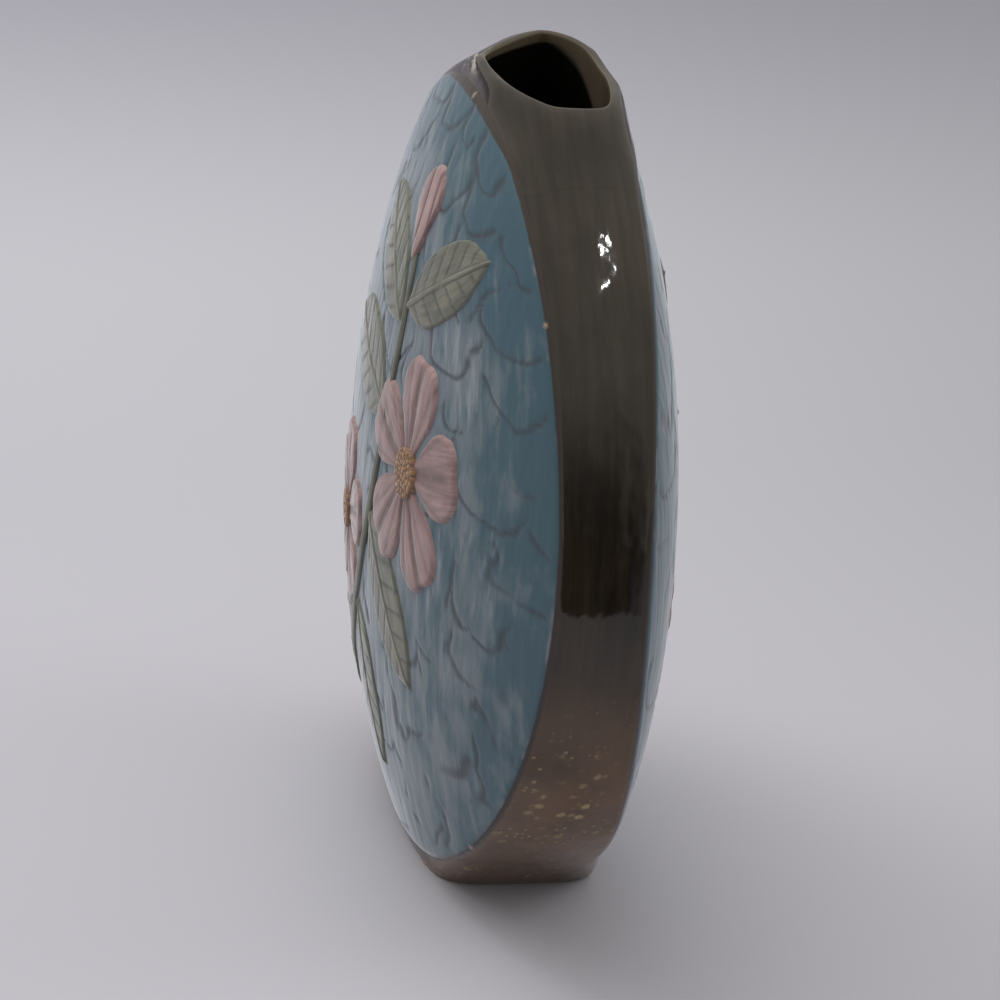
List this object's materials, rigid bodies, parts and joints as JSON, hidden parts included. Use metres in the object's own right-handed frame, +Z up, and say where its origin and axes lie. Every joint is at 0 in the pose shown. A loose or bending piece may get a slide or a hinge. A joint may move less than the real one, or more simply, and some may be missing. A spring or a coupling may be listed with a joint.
{
  "type": "pillow vase",
  "caption": "Round pillow vase with two domed faces carrying low floral relief, a glossy dark band round the edge, an oval mouth on top and a flat foot.",
  "frame": {"origin": "middle of the foot, on the surface that the vase stands on", "axes": "+Z up to the mouth, X across the faces, -Y out of the front face"},
  "size_m": [0.1774, 0.0654, 0.18],
  "materials": {
    "blue_underglaze": "matt, brushed and tooled slate blue",
    "dark_glaze": "glossy olive brown with gold flecks, worn at the rims",
    "pink_underglaze": "matt dusty pink",
    "sage_underglaze": "matt sage green",
    "blossom_heart": "matt ochre, stippled",
    "raw_clay": "unglazed, slightly rough"
  },
  "bodies": {
    "root": {"back_blossom_1_centre": "blossom_heart", "back_blossom_1_petals": "pink_underglaze", "back_blossom_2_centre": "blossom_heart", "back_blossom_2_petals": "pink_underglaze", "back_bud": "pink_underglaze", "back_leaf_1": "sage_underglaze", "back_leaf_2": "sage_underglaze", "back_leaf_3": "sage_underglaze", "back_leaf_4": "sage_underglaze", "back_leaf_5": "sage_underglaze", "back_leaf_6": "sage_underglaze", "back_leaf_7": "sage_underglaze", "back_seam_coil": "raw_clay", "back_stem": "sage_underglaze", "back_wall": "blue_underglaze", "base_slab": "dark_glaze", "front_blossom_1_centre": "blossom_heart", "front_blossom_1_petals": "pink_underglaze", "front_blossom_2_centre": "blossom_heart", "front_blossom_2_petals": "pink_underglaze", "front_bud": "pink_underglaze", "front_leaf_1": "sage_underglaze", "front_leaf_2": "sage_underglaze", "front_leaf_3": "sage_underglaze", "front_leaf_4": "sage_underglaze", "front_leaf_5": "sage_underglaze", "front_leaf_6": "sage_underglaze", "front_leaf_7": "sage_underglaze", "front_seam_coil": "raw_clay", "front_stem": "sage_underglaze", "front_wall": "blue_underglaze", "left_side_band": "dark_glaze", "mouth_lip": "dark_glaze", "right_side_band": "dark_glaze"}
  },
  "joints": []
}
